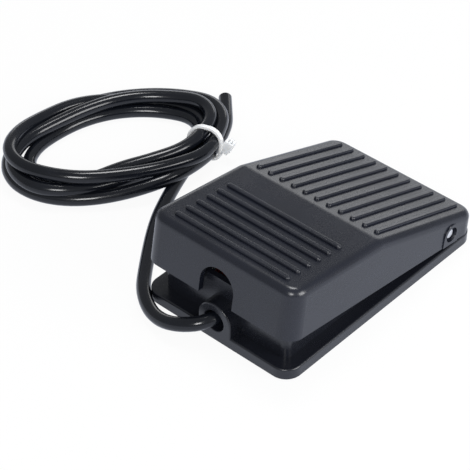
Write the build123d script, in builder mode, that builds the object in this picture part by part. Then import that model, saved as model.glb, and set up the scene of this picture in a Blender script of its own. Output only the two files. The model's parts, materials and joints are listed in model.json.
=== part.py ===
from build123d import *
import os
from math import cos, hypot, pi, radians, sin, tan

# Sprung foot switch: a rigid ribbed pedal hinged over a tray that holds a snap switch
# Sizes in millimetres, z = 0 is the floor, -Y is the cord side, +Y is the hinge side
# Every piece is drawn where it sits with the pedal up, its rest position

# Driving dimensions
LENGTH = 99.0
WIDTH = 63.0
CORNER = 6.0
WALL = 2.2
FOOT_PROUD = 0.5
RIM_TOP = 5.0
FLOOR_TOP = 2.7
WALL_INSET = 5.0
PIN_FROM_REAR = 14.3
PIN_Z = 10.45
PIN_RADIUS = 2.0
LIFT = 7.45
COVER_RISE = 15.05
EDGE_DROP = 4.02
CREASE_FROM_FRONT = 44.2
PEDAL_FALL = 8.505
DRAFT = 1.5
RIB_PITCH = 5.06
RIB_WIDTH = 2.0
RIB_HEIGHT = 0.9
CORD_RADIUS = 2.5
CORD_Z = 8.8
SWITCH_FROM_SIDE = 16.5
SWITCH_FROM_FRONT = 26.5
SWITCH_LONG = 27.8
SWITCH_WIDE = 10.3
SWITCH_TALL = 15.9

# Worked out from the driving dimensions
FRONT_Y = -LENGTH / 2
PIN_Y = LENGTH / 2 - PIN_FROM_REAR
CREASE_Y = FRONT_Y + CREASE_FROM_FRONT
SLOPE = PEDAL_FALL / (PIN_Y - CREASE_Y)
FLAT_Z = PIN_Z + COVER_RISE
EDGE_Z = PIN_Z - EDGE_DROP
BOTTOM_Z = FOOT_PROUD
WALL_WIDTH = WIDTH - 2 * WALL_INSET
WALL_LENGTH = LENGTH - 2 * WALL_INSET
WALL_FRONT = -WALL_LENGTH / 2
TRAY_WALL = 2.0
HINGE = Axis((0, PIN_Y, PIN_Z), (1, 0, 0))
SWITCH_X = SWITCH_FROM_SIDE - WIDTH / 2
SWITCH_FRONT = FRONT_Y + SWITCH_FROM_FRONT
SWITCH_TOP = FLOOR_TOP + SWITCH_TALL
SWITCH_LEFT = SWITCH_X - SWITCH_WIDE / 2
SCREW_SPAN_Y = SWITCH_LONG - 5.6
SCREW_SPAN_Z = 10.3
SCREW_Y = SWITCH_FRONT + (SWITCH_LONG - SCREW_SPAN_Y) / 2
SCREW_Z = FLOOR_TOP + 3.1 + SCREW_SPAN_Z
LEVER_Z = SWITCH_TOP + 1.25
LEVER_THICK = 0.6


def ceiling_z(y):
    """Height of the pedal's inner face above a place on a level pedal."""
    return FLAT_Z - WALL - max(0.0, y - CREASE_Y) * SLOPE


def lifted(y, z):
    """Where a point of the level pedal lies once the pedal is up."""
    turn = radians(LIFT)
    back = y - PIN_Y
    rise = z - PIN_Z
    new_y = PIN_Y + back * cos(turn) + rise * sin(turn)
    new_z = PIN_Z - back * sin(turn) + rise * cos(turn)
    return new_y, new_z


def save(builder, name):
    """Label one piece and write it to its own file."""
    builder.part.label = name
    export_step(builder.part, f"parts/{name}.step")


os.makedirs("parts", exist_ok=True)

# Base tray: a rim, a floor, an inner wall that follows the pedal's two slopes
TRAY_TOP = ceiling_z(CREASE_Y) - 0.9
REAR_TOP = 10.8
PIN_TOP = PIN_Z + PIN_RADIUS + 1.15
FOOT_RADIUS = 4.2
FOOT_X = WIDTH / 2 - 11.5
FOOT_Y = LENGTH / 2 - 12.5
HOLE_RADIUS = 3.9
BOSS_RADIUS = 6.9
LUG_RADIUS = 3.4
LUG_X = WIDTH / 2 - WALL - 0.45
SPRING_X = 9.0
SPRING_Y = FRONT_Y + 28.4
SPRING_RADIUS = 5.0
RIB_X = SWITCH_X + SWITCH_WIDE / 2 + 0.1
GUSSET_BACKS = (14.8, 2.8)
HOOK_X = WIDTH / 2 - 12.0
LEDGE_Z = TRAY_TOP - 2.1
SADDLE_FRONT = FRONT_Y + 7.2
SADDLE_LENGTH = 4.6
CLAMP_SCREW_X = CORD_RADIUS + 3.7
SADDLE_WIDE = 2 * (CLAMP_SCREW_X + 2.8)
STOP_Y = FRONT_Y + 19.5
STOP_TOP = ceiling_z(STOP_Y) - 0.15

with BuildPart() as base_tray:
    with BuildSketch(Plane.XY.offset(BOTTOM_Z)):
        RectangleRounded(WIDTH, LENGTH, CORNER)
    extrude(amount=RIM_TOP - BOTTOM_Z)
    fillet(base_tray.edges().group_by(Axis.Z)[-1], radius=0.7)
    chamfer(base_tray.edges().group_by(Axis.Z)[0], length=0.4)

    # Inner wall, then its slope down towards the hinge
    with BuildSketch(Plane.XY.offset(RIM_TOP - 0.5)):
        RectangleRounded(WALL_WIDTH, WALL_LENGTH, 2.5)
    extrude(amount=TRAY_TOP - RIM_TOP + 0.5)
    with BuildSketch(Plane.YZ):
        with BuildLine():
            Polyline(
                (CREASE_Y - 1, TRAY_TOP),
                (PIN_Y, PIN_TOP),
                (LENGTH / 2 - WALL_INSET, REAR_TOP),
                (LENGTH, REAR_TOP),
                (LENGTH, TRAY_TOP + 5),
                (CREASE_Y - 1, TRAY_TOP + 5),
                close=True,
            )
        make_face()
    extrude(amount=WIDTH, both=True, mode=Mode.SUBTRACT)

    # Hollow inside the wall, down to the floor
    with BuildSketch(Plane.XY.offset(FLOOR_TOP)):
        RectangleRounded(WALL_WIDTH - 2 * TRAY_WALL, WALL_LENGTH - 2 * TRAY_WALL, 1.0)
    extrude(amount=TRAY_TOP, mode=Mode.SUBTRACT)

    # Groove under the rim that keeps its section even
    with BuildSketch(Plane.XY.offset(BOTTOM_Z)):
        RectangleRounded(WIDTH - 4.4, LENGTH - 4.4, CORNER - 2.2)
        RectangleRounded(WIDTH - 9.6, LENGTH - 9.6, 1.6, mode=Mode.SUBTRACT)
    extrude(amount=RIM_TOP - BOTTOM_Z - 2.0, mode=Mode.SUBTRACT)

    # Pockets for the feet
    with Locations((0, 0, BOTTOM_Z)):
        with GridLocations(2 * FOOT_X, 2 * FOOT_Y, 2, 2):
            Cylinder(
                FOOT_RADIUS, 1.0,
                align=(Align.CENTER, Align.CENTER, Align.MIN), mode=Mode.SUBTRACT,
            )

    # Arched boss on the front rim, with the cord hole through boss and wall
    with BuildSketch(Plane.XZ.offset(LENGTH / 2)):
        with Locations((0, CORD_Z)):
            Circle(BOSS_RADIUS)
        with Locations((0, (CORD_Z + RIM_TOP - 1) / 2)):
            Rectangle(2 * BOSS_RADIUS, CORD_Z - RIM_TOP + 1)
        with Locations((0, RIM_TOP - 1 - BOSS_RADIUS)):
            Rectangle(3 * BOSS_RADIUS, 2 * BOSS_RADIUS, mode=Mode.SUBTRACT)
    extrude(amount=-WALL_INSET - 0.5)
    with Locations(Plane.XZ.offset(LENGTH / 2) * Location((0, CORD_Z, 0))):
        Cylinder(
            HOLE_RADIUS, WALL_INSET + TRAY_WALL + 1,
            align=(Align.CENTER, Align.CENTER, Align.MAX), mode=Mode.SUBTRACT,
        )
    arch = base_tray.edges().filter_by(GeomType.CIRCLE).filter_by_position(
        Axis.Y, -LENGTH / 2 - 0.01, -LENGTH / 2 + 0.01
    )
    fillet(arch, radius=0.5)

    # Hinge lugs outside the side walls, standing on the rim
    for side in (-1, 1):
        lug_middle = side * (WALL_WIDTH / 2 - TRAY_WALL + LUG_X) / 2
        lug_width = LUG_X - WALL_WIDTH / 2 + TRAY_WALL
        with Locations(Location((lug_middle, PIN_Y, PIN_Z), (0, 90, 0))):
            Cylinder(LUG_RADIUS, lug_width)
        with Locations((lug_middle, PIN_Y, (PIN_Z + FLOOR_TOP) / 2)):
            Box(lug_width, 2 * LUG_RADIUS, PIN_Z - FLOOR_TOP)
    with Locations(Location((0, PIN_Y, PIN_Z), (0, 90, 0))):
        Cylinder(PIN_RADIUS, WIDTH + 10, mode=Mode.SUBTRACT)

    # Spring cup on the floor
    with Locations((SPRING_X, SPRING_Y, FLOOR_TOP)):
        Cylinder(SPRING_RADIUS + 1.7, 3.2, align=(Align.CENTER, Align.CENTER, Align.MIN))
        with Locations((0, 0, 0.4)):
            Cylinder(
                SPRING_RADIUS + 0.3, 4,
                align=(Align.CENTER, Align.CENTER, Align.MIN), mode=Mode.SUBTRACT,
            )

    # Upright rib that the switch is screwed to, with two gussets
    with Locations((RIB_X + 1.5, SWITCH_FRONT + SWITCH_LONG / 2, FLOOR_TOP - 0.2)):
        Box(3, SWITCH_LONG, SWITCH_TALL - 0.3, align=(Align.CENTER, Align.CENTER, Align.MIN))
    for gusset_back in GUSSET_BACKS:
        gusset_y = SWITCH_FRONT + SWITCH_LONG - gusset_back
        with BuildSketch(Plane.XZ.offset(-gusset_y)):
            with BuildLine():
                Polyline(
                    (RIB_X + 2.9, FLOOR_TOP - 0.2),
                    (RIB_X + 8, FLOOR_TOP - 0.2),
                    (RIB_X + 2.9, FLOOR_TOP + 11),
                    close=True,
                )
            make_face()
        extrude(amount=1.8)
    for number in range(2):
        hole_y = SCREW_Y + number * SCREW_SPAN_Y
        hole_z = SCREW_Z - number * SCREW_SPAN_Z
        with Locations(Location((RIB_X + 1.5, hole_y, hole_z), (0, 90, 0))):
            Cylinder(1.35, 4, mode=Mode.SUBTRACT)

    # Grooved saddle under the cord, with the clamp's two screw holes
    with Locations((0, SADDLE_FRONT + SADDLE_LENGTH / 2, FLOOR_TOP - 0.2)):
        Box(
            SADDLE_WIDE, SADDLE_LENGTH, CORD_Z - FLOOR_TOP - 0.2,
            align=(Align.CENTER, Align.CENTER, Align.MIN),
        )
    with Locations(Plane.XZ.offset(-SADDLE_FRONT) * Location((0, CORD_Z, 0))):
        Cylinder(
            CORD_RADIUS + 0.05, 3 * SADDLE_LENGTH,
            align=(Align.CENTER, Align.CENTER, Align.CENTER), mode=Mode.SUBTRACT,
        )
    with Locations((0, SADDLE_FRONT + SADDLE_LENGTH / 2, CORD_Z)):
        with GridLocations(2 * CLAMP_SCREW_X, 1, 2, 1):
            Cylinder(
                1.15, 5.2,
                align=(Align.CENTER, Align.CENTER, Align.MAX), mode=Mode.SUBTRACT,
            )

    # Ledges that the pedal's hooks catch under, and pads that stop the pedal going down
    for side in (-1, 1):
        with Locations((side * HOOK_X, WALL_FRONT + TRAY_WALL + 0.9, LEDGE_Z)):
            Box(8, 2.2, TRAY_TOP - LEDGE_Z, align=(Align.CENTER, Align.CENTER, Align.MIN))
        pad_x = side * (WALL_WIDTH / 2 - TRAY_WALL / 2)
        with Locations((pad_x, STOP_Y, TRAY_TOP - 0.3)):
            Box(1.6, 6, STOP_TOP - TRAY_TOP + 0.3, align=(Align.CENTER, Align.CENTER, Align.MIN))
save(base_tray, "base_tray")

# Four soft feet
with BuildPart() as rubber_feet:
    with GridLocations(2 * FOOT_X, 2 * FOOT_Y, 2, 2):
        Cylinder(
            FOOT_RADIUS - 0.1, FOOT_PROUD + 0.95, align=(Align.CENTER, Align.CENTER, Align.MIN)
        )
    fillet(rubber_feet.edges().group_by(Axis.Z)[0], radius=0.4)
save(rubber_feet, "rubber_feet")


# Pedal cover: tapered shell with a flat front and a rear slope
def pedal_block(inset, bottom, top_drop, corner, round_over):
    """Solid block with the pedal's outline and two slopes, smaller by the inset."""
    top = FLAT_Z - top_drop
    width = WIDTH - 2 * inset
    length = LENGTH - 2 * inset
    with BuildPart() as block:
        with BuildSketch(Plane.XY.offset(bottom)):
            RectangleRounded(width, length, corner)
        extrude(amount=top - bottom, taper=DRAFT)
        far = CREASE_Y + LENGTH
        with BuildSketch(Plane.YZ):
            with BuildLine():
                Polyline(
                    (CREASE_Y, top),
                    (far, top - LENGTH * SLOPE),
                    (far, top + 5),
                    (CREASE_Y, top + 5),
                    close=True,
                )
            make_face()
        extrude(amount=WIDTH, both=True, mode=Mode.SUBTRACT)
        crease = block.edges().filter_by(Axis.X).filter_by_position(
            Axis.Y, CREASE_Y - 0.1, CREASE_Y + 0.1
        )
        fillet(crease, radius=8)
        fillet(top_border(block, top), radius=round_over)
    return block.part


def top_border(block, top):
    """Edges round the top of a pedal block, without the lines across the crease."""
    border = []
    for edge in block.edges():
        middle = edge @ 0.5
        start = edge @ 0
        end = edge @ 1
        level = top - max(0.0, middle.Y - CREASE_Y) * SLOPE
        across = abs(start.X + end.X) < 0.1 and abs(middle.Y - CREASE_Y) < 3
        if middle.Z > level - 0.2 and not across:
            border.append(edge)
    return border


TOP_ROUND = 3.0
RIB_REACH = WIDTH / 2 - 7.4
FIRST_RIB_Y = FRONT_Y + 5.5
CROSS_RIBS = 6
LONG_RIB_FRONT = CREASE_Y + 3.1
LONG_RIB_REAR = LENGTH / 2 - 4.3
LONG_RIBS = 1 + 2 * int((WIDTH / 2 - 5.2) / RIB_PITCH)
NOTCH_RADIUS = 7.1
NOTCH_TOP = EDGE_Z + 12.3
PAD_RADIUS = 4.0
POST_Y = SWITCH_FRONT + SWITCH_LONG - 5.4
POST_BOTTOM = LEVER_Z + LEVER_THICK / 2 + 0.25
HOOK_FRONT = FRONT_Y + 9.25
SPIGOT_Y = SPRING_Y - 1.05
SPIGOT_RADIUS = 2.4
STIFF_FRONT = CREASE_Y + 13.3
STIFF_REAR = PIN_Y + 8

with BuildPart() as level_pedal:
    add(pedal_block(0, EDGE_Z, 0, CORNER, TOP_ROUND))

    # Raised round-ended ribs, across the flat and along the slope
    flat = Plane.XY.offset(FLAT_Z - 0.1)
    with BuildSketch(flat):
        for number in range(CROSS_RIBS):
            with Locations((0, FIRST_RIB_Y + number * RIB_PITCH)):
                SlotOverall(2 * RIB_REACH, RIB_WIDTH)
    extrude(amount=RIB_HEIGHT + 0.1)
    slope_plane = Plane(
        origin=(0, CREASE_Y, FLAT_Z - 0.1), x_dir=(1, 0, 0), z_dir=(0, SLOPE, 1)
    )
    slope_stretch = hypot(1, SLOPE)
    rib_middle = ((LONG_RIB_FRONT + LONG_RIB_REAR) / 2 - CREASE_Y) * slope_stretch
    rib_length = (LONG_RIB_REAR - LONG_RIB_FRONT) * slope_stretch
    with BuildSketch(slope_plane):
        with Locations((0, rib_middle)):
            with GridLocations(RIB_PITCH, 1, LONG_RIBS, 1):
                SlotOverall(rib_length, RIB_WIDTH, rotation=90)
    extrude(amount=RIB_HEIGHT + 0.1)
    rib_tops = [
        face for face in level_pedal.faces()
        if face.normal_at(face.center()).Z > 0.9 and face.area < 3 * 2 * RIB_REACH
        and (face.center().Z > FLAT_Z + 0.5 or face.center().Y > CREASE_Y + 5)
    ]
    fillet([edge for face in rib_tops for edge in face.edges()], radius=0.6)

    # Raised pads round the pin holes, running down to the lower edge
    for side in (-1, 1):
        outward = Plane(origin=(side * (WIDTH / 2 - 1), PIN_Y, PIN_Z), x_dir=(0, 1, 0),
                        z_dir=(side, 0, 0))
        pad_drop = EDGE_DROP if side < 0 else -EDGE_DROP
        with BuildSketch(outward):
            Circle(PAD_RADIUS)
            with Locations((0, pad_drop / 2)):
                Rectangle(2 * PAD_RADIUS, EDGE_DROP)
        extrude(amount=1.3)

    # Hollow it
    add(pedal_block(WALL, EDGE_Z - 1, WALL, CORNER - WALL, 1.2), mode=Mode.SUBTRACT)

    # Arch in the front wall that clears the cord boss
    arch_middle = NOTCH_TOP - NOTCH_RADIUS
    with BuildSketch(Plane.XZ.offset(LENGTH / 2)):
        with Locations((0, arch_middle)):
            Circle(NOTCH_RADIUS)
            Rectangle(
                2 * NOTCH_RADIUS, arch_middle - EDGE_Z + 1, align=(Align.CENTER, Align.MAX)
            )
    extrude(amount=-WALL - 3, mode=Mode.SUBTRACT)

    # Pin holes, opened out at the outer face
    with Locations(Location((0, PIN_Y, PIN_Z), (0, 90, 0))):
        Cylinder(PIN_RADIUS + 0.06, WIDTH + 4, mode=Mode.SUBTRACT)
        for side in (-1, 1):
            with Locations((0, 0, side * (WIDTH / 2 + 0.3))):
                Cylinder(PIN_RADIUS + 0.8, 2.4, mode=Mode.SUBTRACT)

    # Two hook legs that stop the pedal lifting too far
    for side in (-1, 1):
        with BuildSketch(Plane.YZ.offset(side * HOOK_X)):
            with BuildLine():
                Polyline(
                    (HOOK_FRONT, FLAT_Z - WALL + 0.5),
                    (HOOK_FRONT, PIN_Z - 0.4),
                    (HOOK_FRONT - 1.75, PIN_Z - 0.4),
                    (HOOK_FRONT - 1.75, PIN_Z - 1.0),
                    (HOOK_FRONT, PIN_Z - 2.6),
                    (HOOK_FRONT + 1.6, PIN_Z - 2.6),
                    (HOOK_FRONT + 2.4, FLAT_Z - WALL - 3),
                    (HOOK_FRONT + 5.0, FLAT_Z - WALL + 0.5),
                    close=True,
                )
            make_face()
        extrude(amount=3, both=True)

    # Spring spigot and the rounded post that works the switch lever
    with Locations((SPRING_X, SPIGOT_Y, FLAT_Z - WALL + 0.5)):
        Cylinder(SPIGOT_RADIUS, 4.5, align=(Align.CENTER, Align.CENTER, Align.MAX))
    post_tall = ceiling_z(POST_Y) - POST_BOTTOM - 0.6
    with BuildSketch(Plane.YZ.offset(SWITCH_X)):
        with Locations((POST_Y, POST_BOTTOM + 1)):
            Circle(1)
            Rectangle(2, post_tall, align=(Align.CENTER, Align.MIN))
    extrude(amount=3, both=True)

    # Stiffening ribs under the slope, ending behind the pin
    for side in (-1, 1):
        with BuildSketch(Plane.YZ.offset(side * 10)):
            with BuildLine():
                Polyline(
                    (STIFF_FRONT, ceiling_z(STIFF_FRONT) + 0.5),
                    (STIFF_REAR, ceiling_z(STIFF_REAR) + 0.5),
                    (STIFF_REAR - 2, ceiling_z(STIFF_REAR - 2) - 2.0),
                    (STIFF_FRONT + 2, ceiling_z(STIFF_FRONT + 2) - 2.0),
                    close=True,
                )
            make_face()
        extrude(amount=0.7, both=True)

with BuildPart() as pedal_cover:
    add(level_pedal.part.rotate(HINGE, -LIFT))
    # Rear lower edge trimmed to sit just over the tray's rim
    with Locations((0, LENGTH / 2, RIM_TOP + 0.25)):
        Box(
            WIDTH + 4, LENGTH, 10,
            align=(Align.CENTER, Align.CENTER, Align.MAX), mode=Mode.SUBTRACT,
        )
save(pedal_cover, "pedal_cover")

# Hinge pin, fast in the tray and free in the cover
with BuildPart() as hinge_pin:
    with Locations(Location((0, PIN_Y, PIN_Z), (0, 90, 0))):
        Cylinder(PIN_RADIUS, WIDTH - 1.2)
    chamfer(hinge_pin.edges().filter_by(GeomType.CIRCLE), length=0.4)
save(hinge_pin, "hinge_pin")

# Return spring, standing in its cup
SPRING_WIRE = 0.5
SPRING_TURNS = 7
SPRING_FOOT = FLOOR_TOP + 0.45
SPRING_HEAD = lifted(SPIGOT_Y, FLAT_Z - WALL)[1] - 0.93
with BuildPart() as return_spring:
    spring_rise = SPRING_HEAD - SPRING_FOOT - 2 * SPRING_WIRE
    with BuildLine() as spring_line:
        Helix(
            spring_rise / SPRING_TURNS, spring_rise, SPRING_RADIUS - SPRING_WIRE,
            center=(SPRING_X, SPRING_Y, SPRING_FOOT + SPRING_WIRE),
        )
    with BuildSketch(Plane(spring_line.line @ 0, z_dir=spring_line.line % 0)):
        Circle(SPRING_WIRE)
    sweep(is_frenet=True)
save(return_spring, "return_spring")

# Snap switch: case, lid, plunger, lever on its pin, blade and three terminals
CASE_WALL = 1.5
LID_THICK = 1.2
PLUNGER_RADIUS = 1.6
PLUNGER_Y = SWITCH_FRONT + 7.5
LEVER_Y = SWITCH_FRONT + 1.5
LEVER_LIFT = LIFT * (PIN_Y - POST_Y) / (POST_Y - LEVER_Y) - 1.06
LEVER_LONG = SWITCH_LONG - 3.8
BLADE_Y = SWITCH_FRONT + SWITCH_LONG - 6.8
BLADE_Z = FLOOR_TOP + 8.1
CONTACT_Y = SWITCH_FRONT + 4.2
TAB_WIDE = 4.8
TAB_THICK = 0.8
TAB_FRONT = SWITCH_FRONT - 6.0
COMMON_Z = FLOOR_TOP + 2.3
OPEN_Z = COMMON_Z + 2.05
CLOSED_Z = BLADE_Z + 2.3
SWITCH_MIDDLE_Y = SWITCH_FRONT + SWITCH_LONG / 2
SWITCH_MIDDLE_Z = FLOOR_TOP + SWITCH_TALL / 2
terminal_heights = [COMMON_Z, OPEN_Z, CLOSED_Z]
screw_spots = [
    (SCREW_Y + number * SCREW_SPAN_Y, SCREW_Z - number * SCREW_SPAN_Z) for number in range(2)
]

with BuildPart() as switch_case:
    case_wide = SWITCH_WIDE - LID_THICK
    with Locations((SWITCH_LEFT + case_wide / 2, SWITCH_MIDDLE_Y, SWITCH_MIDDLE_Z)):
        Box(case_wide, SWITCH_LONG, SWITCH_TALL)
    fillet(switch_case.edges().filter_by(Axis.X), radius=0.6)
    with BuildSketch(Plane.YZ.offset(SWITCH_LEFT + CASE_WALL)):
        with Locations((SWITCH_MIDDLE_Y, SWITCH_MIDDLE_Z)):
            Rectangle(SWITCH_LONG - 2 * CASE_WALL, SWITCH_TALL - 2 * CASE_WALL)
        with Locations(*screw_spots):
            Circle(2.3, mode=Mode.SUBTRACT)
    extrude(amount=SWITCH_WIDE, mode=Mode.SUBTRACT)
    for hole_y, hole_z in screw_spots:
        with Locations(Location((SWITCH_X, hole_y, hole_z), (0, 90, 0))):
            Cylinder(1.55, 2 * SWITCH_WIDE, mode=Mode.SUBTRACT)
    with Locations((SWITCH_X, PLUNGER_Y, SWITCH_TOP)):
        Cylinder(PLUNGER_RADIUS + 0.06, 4, mode=Mode.SUBTRACT)
    for height in terminal_heights:
        with Locations((SWITCH_X, SWITCH_FRONT, height)):
            Box(TAB_WIDE + 0.1, 4, TAB_THICK + 0.1, mode=Mode.SUBTRACT)
    # Two ears that hold the lever's pin
    for side in (-1, 1):
        with BuildSketch(Plane.YZ.offset(SWITCH_X + side * 3.0)):
            with Locations((LEVER_Y, LEVER_Z)):
                Circle(1.3)
                Rectangle(2.6, 1.6, align=(Align.CENTER, Align.MAX))
                Circle(0.6, mode=Mode.SUBTRACT)
        extrude(amount=0.6, both=True)
save(switch_case, "switch_case")

with BuildPart() as switch_lid:
    lid_x = SWITCH_LEFT + SWITCH_WIDE - LID_THICK / 2
    with Locations((lid_x, SWITCH_MIDDLE_Y, SWITCH_MIDDLE_Z)):
        Box(LID_THICK, SWITCH_LONG, SWITCH_TALL)
    fillet(switch_lid.edges().filter_by(Axis.X), radius=0.6)
    for hole_y, hole_z in screw_spots:
        with Locations(Location((lid_x, hole_y, hole_z), (0, 90, 0))):
            Cylinder(1.55, 4, mode=Mode.SUBTRACT)
save(switch_lid, "switch_lid")

PLUNGER_TRAVEL = (PLUNGER_Y - LEVER_Y) * tan(radians(LEVER_LIFT))
LEVER_HALF = LEVER_THICK / 2 / cos(radians(LEVER_LIFT))
PLUNGER_TOP = LEVER_Z + PLUNGER_TRAVEL - LEVER_HALF - 0.2
PLUNGER_FOOT = BLADE_Z + 1.4
with BuildPart() as switch_plunger:
    with Locations((SWITCH_X, PLUNGER_Y, PLUNGER_FOOT)):
        Cylinder(
            PLUNGER_RADIUS, PLUNGER_TOP - PLUNGER_FOOT,
            align=(Align.CENTER, Align.CENTER, Align.MIN),
        )
    fillet(switch_plunger.edges().group_by(Axis.Z)[-1], radius=1.0)
    with Locations((SWITCH_X, PLUNGER_Y, SWITCH_TOP - CASE_WALL - 0.1)):
        Cylinder(PLUNGER_RADIUS + 0.5, 1.2, align=(Align.CENTER, Align.CENTER, Align.MAX))
    with Locations((SWITCH_X, PLUNGER_Y, BLADE_Z + 0.3)):
        Cylinder(0.6, 2, align=(Align.CENTER, Align.CENTER, Align.MIN))
save(switch_plunger, "switch_plunger")

with BuildPart() as level_lever:
    with BuildSketch(Plane.YZ.offset(SWITCH_X)):
        with Locations((LEVER_Y + LEVER_LONG / 2, LEVER_Z)):
            Rectangle(LEVER_LONG, LEVER_THICK)
        with Locations((LEVER_Y, LEVER_Z)):
            Circle(1.1)
            Circle(0.65, mode=Mode.SUBTRACT)
    extrude(amount=2.2, both=True)
    fillet(level_lever.edges().filter_by(Axis.Z).group_by(Axis.Y)[-1], radius=1.5)
with BuildPart() as switch_lever:
    lever_axis = Axis((SWITCH_X, LEVER_Y, LEVER_Z), (1, 0, 0))
    add(level_lever.part.rotate(lever_axis, LEVER_LIFT))
save(switch_lever, "switch_lever")

with BuildPart() as lever_pin:
    with Locations(Location((SWITCH_X, LEVER_Y, LEVER_Z), (0, 90, 0))):
        Cylinder(0.6, 7.6)
save(lever_pin, "lever_pin")

with BuildPart() as contact_blade:
    blade_long = BLADE_Y - CONTACT_Y + 1.3
    with Locations((SWITCH_X, BLADE_Y - blade_long / 2, BLADE_Z)):
        Box(4, blade_long, 0.4)
    with Locations((SWITCH_X, CONTACT_Y, BLADE_Z)):
        Cylinder(1.0, 2.0)
save(contact_blade, "contact_blade")

with BuildPart() as terminal_common:
    bar_long = BLADE_Y - TAB_FRONT
    with Locations((SWITCH_X, TAB_FRONT + bar_long / 2, COMMON_Z)):
        Box(TAB_WIDE, bar_long, TAB_THICK)
    with Locations((SWITCH_X, BLADE_Y, COMMON_Z - TAB_THICK / 2)):
        Box(
            4, TAB_THICK, BLADE_Z - COMMON_Z + TAB_THICK / 2 - 0.3,
            align=(Align.CENTER, Align.MAX, Align.MIN),
        )
save(terminal_common, "terminal_common")

with BuildPart() as terminal_open:
    bar_long = CONTACT_Y + 2 - TAB_FRONT
    with Locations((SWITCH_X, TAB_FRONT + bar_long / 2, OPEN_Z)):
        Box(TAB_WIDE, bar_long, TAB_THICK)
    with Locations((SWITCH_X, CONTACT_Y, OPEN_Z)):
        Cylinder(1.1, TAB_THICK / 2 + 0.6, align=(Align.CENTER, Align.CENTER, Align.MIN))
save(terminal_open, "terminal_open")

with BuildPart() as terminal_closed:
    bar_long = CONTACT_Y + 1.3 - TAB_FRONT
    with Locations((SWITCH_X, TAB_FRONT + bar_long / 2, CLOSED_Z)):
        Box(TAB_WIDE, bar_long, TAB_THICK)
    with Locations((SWITCH_X, CONTACT_Y, CLOSED_Z)):
        Cylinder(1.1, TAB_THICK / 2 + 0.8, align=(Align.CENTER, Align.CENTER, Align.MAX))
save(terminal_closed, "terminal_closed")

# Push-on sleeves over the three tabs
SLEEVE_FRONT = TAB_FRONT - 1.5
with BuildPart() as tab_sleeves:
    sleeve_long = SWITCH_FRONT - 0.9 - SLEEVE_FRONT
    for height in terminal_heights:
        with Locations((SWITCH_X, SLEEVE_FRONT + sleeve_long / 2, height)):
            Box(TAB_WIDE + 1.0, sleeve_long, TAB_THICK + 1.1)
        with Locations((SWITCH_X, TAB_FRONT - 0.1, height)):
            Box(
                TAB_WIDE + 0.1, 8, TAB_THICK + 0.1,
                align=(Align.CENTER, Align.MIN, Align.CENTER), mode=Mode.SUBTRACT,
            )
save(tab_sleeves, "tab_sleeves")


def cross_slot(side, depth):
    """Two crossed slots cut into a screw head, at the head's own place."""
    Box(side, side / 4.5, 2 * depth, mode=Mode.SUBTRACT)
    Box(side / 4.5, side, 2 * depth, mode=Mode.SUBTRACT)


SCREW_LONG = SWITCH_WIDE + 2.7
with BuildPart() as switch_screws:
    for hole_y, hole_z in screw_spots:
        head = Plane(origin=(SWITCH_LEFT, hole_y, hole_z), z_dir=(-1, 0, 0))
        with Locations(head.location):
            Cylinder(2.4, 1.6, align=(Align.CENTER, Align.CENTER, Align.MIN))
            Cylinder(1.3, SCREW_LONG, align=(Align.CENTER, Align.CENTER, Align.MAX))
            with Locations((0, 0, 1.6)):
                cross_slot(3.0, 0.8)
save(switch_screws, "switch_screws")

# Clamp bar over the cord and its two screws
CLAMP_FOOT = CORD_Z + 0.4
CLAMP_TALL = 2.7
CLAMP_Y = SADDLE_FRONT + SADDLE_LENGTH / 2
with BuildPart() as cord_clamp:
    with Locations((0, CLAMP_Y, CLAMP_FOOT)):
        Box(
            SADDLE_WIDE, SADDLE_LENGTH, CLAMP_TALL,
            align=(Align.CENTER, Align.CENTER, Align.MIN),
        )
    fillet(cord_clamp.edges().group_by(Axis.Z)[-1], radius=0.6)
    with Locations(Location((0, CLAMP_Y, CORD_Z), (90, 0, 0))):
        Cylinder(CORD_RADIUS + 0.05, 2 * SADDLE_LENGTH, mode=Mode.SUBTRACT)
    with Locations((0, CLAMP_Y, CLAMP_FOOT)):
        with GridLocations(2 * CLAMP_SCREW_X, 1, 2, 1):
            Cylinder(1.4, 8, mode=Mode.SUBTRACT)
save(cord_clamp, "cord_clamp")

with BuildPart() as clamp_screws:
    with Locations((0, CLAMP_Y, CLAMP_FOOT + CLAMP_TALL)):
        with GridLocations(2 * CLAMP_SCREW_X, 1, 2, 1):
            Cylinder(2.2, 1.4, align=(Align.CENTER, Align.CENTER, Align.MIN))
            Cylinder(1.1, 7.5, align=(Align.CENTER, Align.CENTER, Align.MAX))
            with Locations((0, 0, 1.4)):
                cross_slot(2.8, 0.7)
save(clamp_screws, "clamp_screws")


# Cord: a lead over the floor, a tied oval coil and a short free end
def bend_radii(points):
    """Bend at each corner, taking 0.45 of the shorter run beside it."""
    radii = []
    for before, corner, after in zip(points, points[1:], points[2:]):
        run_in = Vector(*corner) - Vector(*before)
        run_out = Vector(*after) - Vector(*corner)
        half_turn = radians(run_in.get_angle(run_out) / 2)
        radii.append(0.45 * min(run_in.length, run_out.length) / tan(half_turn))
    return radii


def tube(points, radius, name):
    """Round solid along straight runs joined by tangent arcs."""
    radii = bend_radii(points)
    with BuildPart() as body:
        with BuildLine() as route:
            FilletPolyline(*points, radius=radii)
        with BuildSketch(Plane(route.line @ 0, z_dir=route.line % 0)):
            Circle(radius)
        sweep(path=route.line)
    length = route.wires()[0].length
    expected = pi * radius**2 * length
    print(name, "length", round(length, 1))
    print(name, "radii", [round(value, 1) for value in radii])
    print(name, "volume ratio", round(body.part.volume / expected, 4))
    return body


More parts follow.
